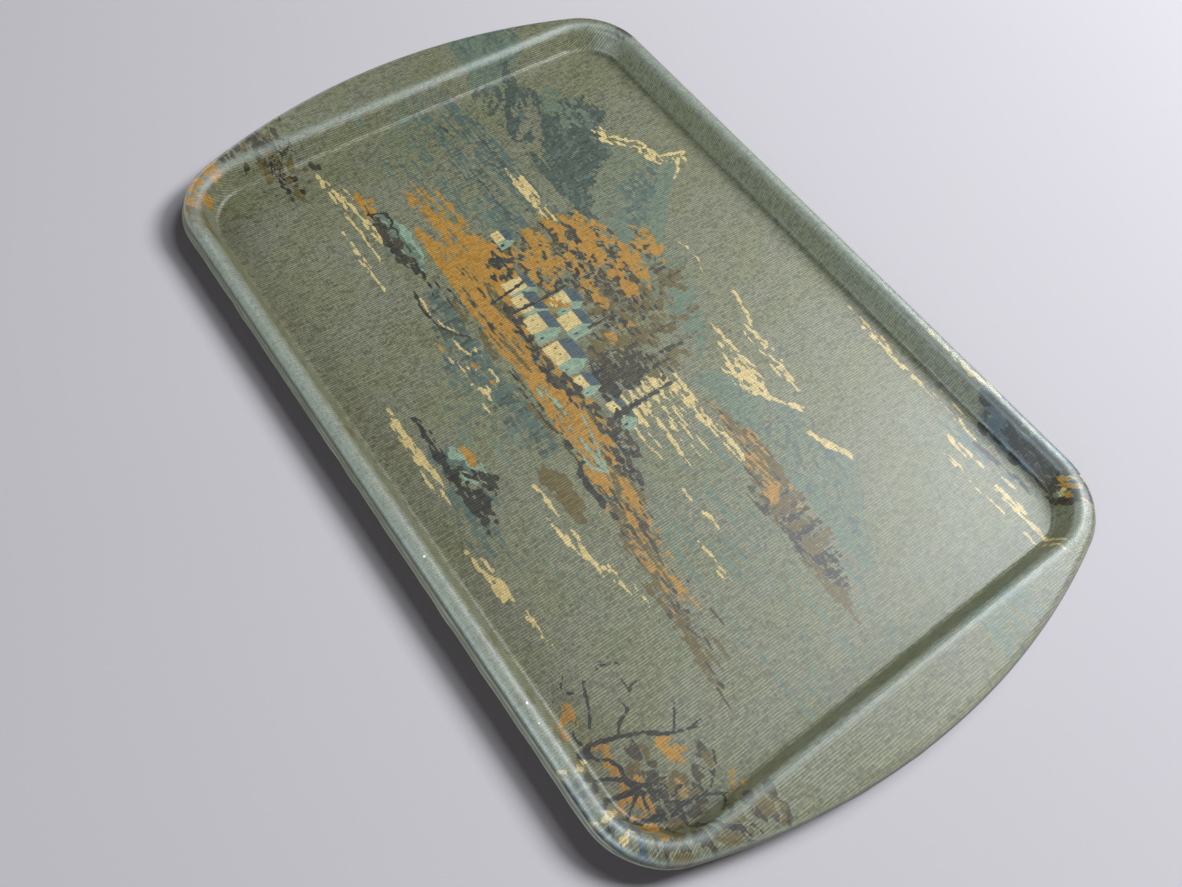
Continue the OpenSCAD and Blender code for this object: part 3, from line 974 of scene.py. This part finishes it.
def core_material():
    """Resin over chopped glass fibre, dull and slightly mottled."""
    s = Shader("core_laminate")
    at = s.add("TexCoord").outputs["Object"]
    cloud = s.noise(at, 35.0, 4.0, 0.6)
    fibre = 0.0
    for n, turn in enumerate((0.0, 0.9, 1.9, 2.6)):
        turned = s.add("Mapping", {"Vector": at, "Rotation": (0.0, 0.0, turn),
                                   "Location": (n, n, n), "Scale": (60.0, 1400.0, 300.0)})
        fibre = s.math("MAXIMUM", fibre, s.ramp(s.noise(turned.outputs[0]), 0.60, 0.72))
    color = s.mix(s.times(fibre, 0.35), s.shades(cloud, CORE_RESIN), linear(GLASS_STRAND))
    bump = s.bump(s.plus(s.times(fibre, 0.6), s.noise(at, 900.0, 3.0, 0.6)), 0.00006, 0.7)
    rough = s.ramp(cloud, 0.3, 0.7, 0.42, 0.58)
    return s.finish(Base_Color=color, Roughness=rough, Normal=bump, IOR=1.5)


def table_material():
    s = Shader("table")
    at = s.add("TexCoord").outputs["Object"]
    return s.finish(Base_Color=s.shades(s.noise(at, 3.0, 3.0), TABLE), Roughness=0.8, IOR=1.3)


# ---------------------------------------------------------------- the pieces

def rim_values(mesh):
    """How far each point lies on the crest of the long sides, down the skirt, where painted shade
    goes, and on a bend, where a painted sheen goes, all from 0 to 1."""
    places, normals = (np.empty(3 * len(mesh.vertices), dtype=np.float32) for _ in range(2))
    mesh.vertices.foreach_get("co", places)
    mesh.vertices.foreach_get("normal", normals)
    places, level = places.reshape(-1, 3) / MM, normals.reshape(-1, 3)[:, :2]
    x, y, z = np.abs(places).T
    on_sides = np.clip((y - CREST_Y) / 3, 0, 1) * np.clip((RIM_CORNER_X + ROLL_R - x) / 6, 0, 1)
    crest = np.clip((z - TRAY_H) / 3 + 1, 0, 1) * on_sides
    faces_out = (level * places[:, :2]).sum(axis=1) > 0
    # Steep outward faces get the skirt's painted shade
    skirt = np.clip((np.hypot(level[:, 0], level[:, 1]) - 0.70) / 0.25, 0, 1) * faces_out
    # The painted sheen on the crest and bends, kept off the skirt
    bend_sheen = np.maximum(face_bends(places), crest) * (1 - skirt)
    return {"crest": crest, "skirt": skirt, "bend_sheen": bend_sheen}


face, flat_cloth = printed_face()
add_values(face, "flat_cloth", np.column_stack([flat_cloth, np.zeros(len(flat_cloth))]))
for ink, cover in sampled(painted_cloth(), flat_cloth).items():
    add_values(face, "ink_" + ink, cover)
for name, values in rim_values(face.data).items():
    add_values(face, name, values)
face.data.materials.append(cloth_material())
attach(face, "root")
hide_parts("printed_face_cloth", "clear_face_coat")

core = moulded_core()
core.data.materials.append(core_material())
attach(core, "root")
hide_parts("moulded_core")

bpy.ops.mesh.primitive_plane_add(size=6.0)
table = bpy.context.active_object
table.name = "table"
table.data.materials.append(table_material())


# ---------------------------------------------------------------- light and camera

def area_light(name, direction, distance, size, power, color, falls_on):
    """A soft light that faces the tray and falls on the given pieces alone. Its size is
    (along X, across it)."""
    lamp = bpy.data.lights.new(name, "AREA")
    lamp.shape = "ELLIPSE" if size[0] == size[1] else "RECTANGLE"
    lamp.size, lamp.size_y = size
    lamp.energy = power
    lamp.color = color
    holder = put(name, lamp)
    way = Vector(direction).normalized()
    holder.location = way * distance
    holder.rotation_mode = "QUATERNION"
    holder.rotation_quaternion = way.to_track_quat("Z", "Y")
    lit = bpy.data.collections.new(name + "_receivers")
    for piece in falls_on:
        lit.objects.link(piece)
    holder.light_linking.receiver_collection = lit


DAYLIGHT = (0.99, 0.985, 1.0)
tray = [face, core]
area_light("window", (0.22, 0.85, 0.70), 3.0, (0.9, 0.9), 76.0, DAYLIGHT, [table])
area_light("high_window", (-0.06, 0.64, 0.77), 3.0, (1.2, 1.2), 27.0, DAYLIGHT, [table])
area_light("low_window", (0.20, -0.80, 0.56), 3.0, (2.2, 2.2), 8.0, (1.0, 0.92, 0.92), [table])
area_light("tray_window", (-0.06, 0.64, 0.77), 3.0, (1.7, 1.7), 44.0, (0.98, 0.94, 0.89), tray)
area_light("near_fill", (0.15, -0.85, 0.36), 2.2, (1.6, 1.6), 56.0, (0.78, 0.89, 1.0), tray)
area_light("right_fill", (0.22, 0.74, 0.62), 0.8, (0.5, 0.5), 5.8, (0.78, 0.88, 1.0), tray)
area_light("side_window", (0.75, 0.45, 0.48), 1.5, (0.3, 0.3), 6.0, (1.0, 0.84, 0.70), tray)
area_light("left_fill", (-0.95, 0.0, 0.30), 3.0, (1.0, 1.0), 22.0, (0.92, 0.96, 1.0), tray)
area_light("end_strip", (0.17, 0.34, 0.93), 1.6, (0.12, 0.6), 2.0, (0.85, 0.97, 1.0), tray)

world = bpy.data.worlds.new("room")
world.use_nodes = True
glow = world.node_tree.nodes["Background"].inputs
glow["Color"].default_value = (0.80, 0.84, 0.92, 1.0)
glow["Strength"].default_value = 0.02
scene.world = world

# The camera looks at a point on the table, from a direction given in degrees
AIM = Vector((0.0356, -0.0422, 0.0))
AZIMUTH, ELEVATION, ROLL = (math.radians(a) for a in (-44.44, 60.47, -9.70))
DISTANCE = 0.4936
LENS = 29.83
camera = put("camera", bpy.data.cameras.new("camera"))
camera.data.sensor_width = 36.0
camera.data.lens = LENS
back = Vector((math.cos(AZIMUTH) * math.cos(ELEVATION), math.sin(AZIMUTH) * math.cos(ELEVATION),
               math.sin(ELEVATION)))
camera.location = AIM + back * DISTANCE
upright = back.to_track_quat("Z", "Y").to_matrix()
camera.rotation_mode = "QUATERNION"
camera.rotation_quaternion = (upright @ Matrix.Rotation(-ROLL, 3, "Z")).to_quaternion()
camera.data.clip_start, camera.data.clip_end = 0.01, 20.0
scene.camera = camera
scene.view_settings.view_transform = "Standard"
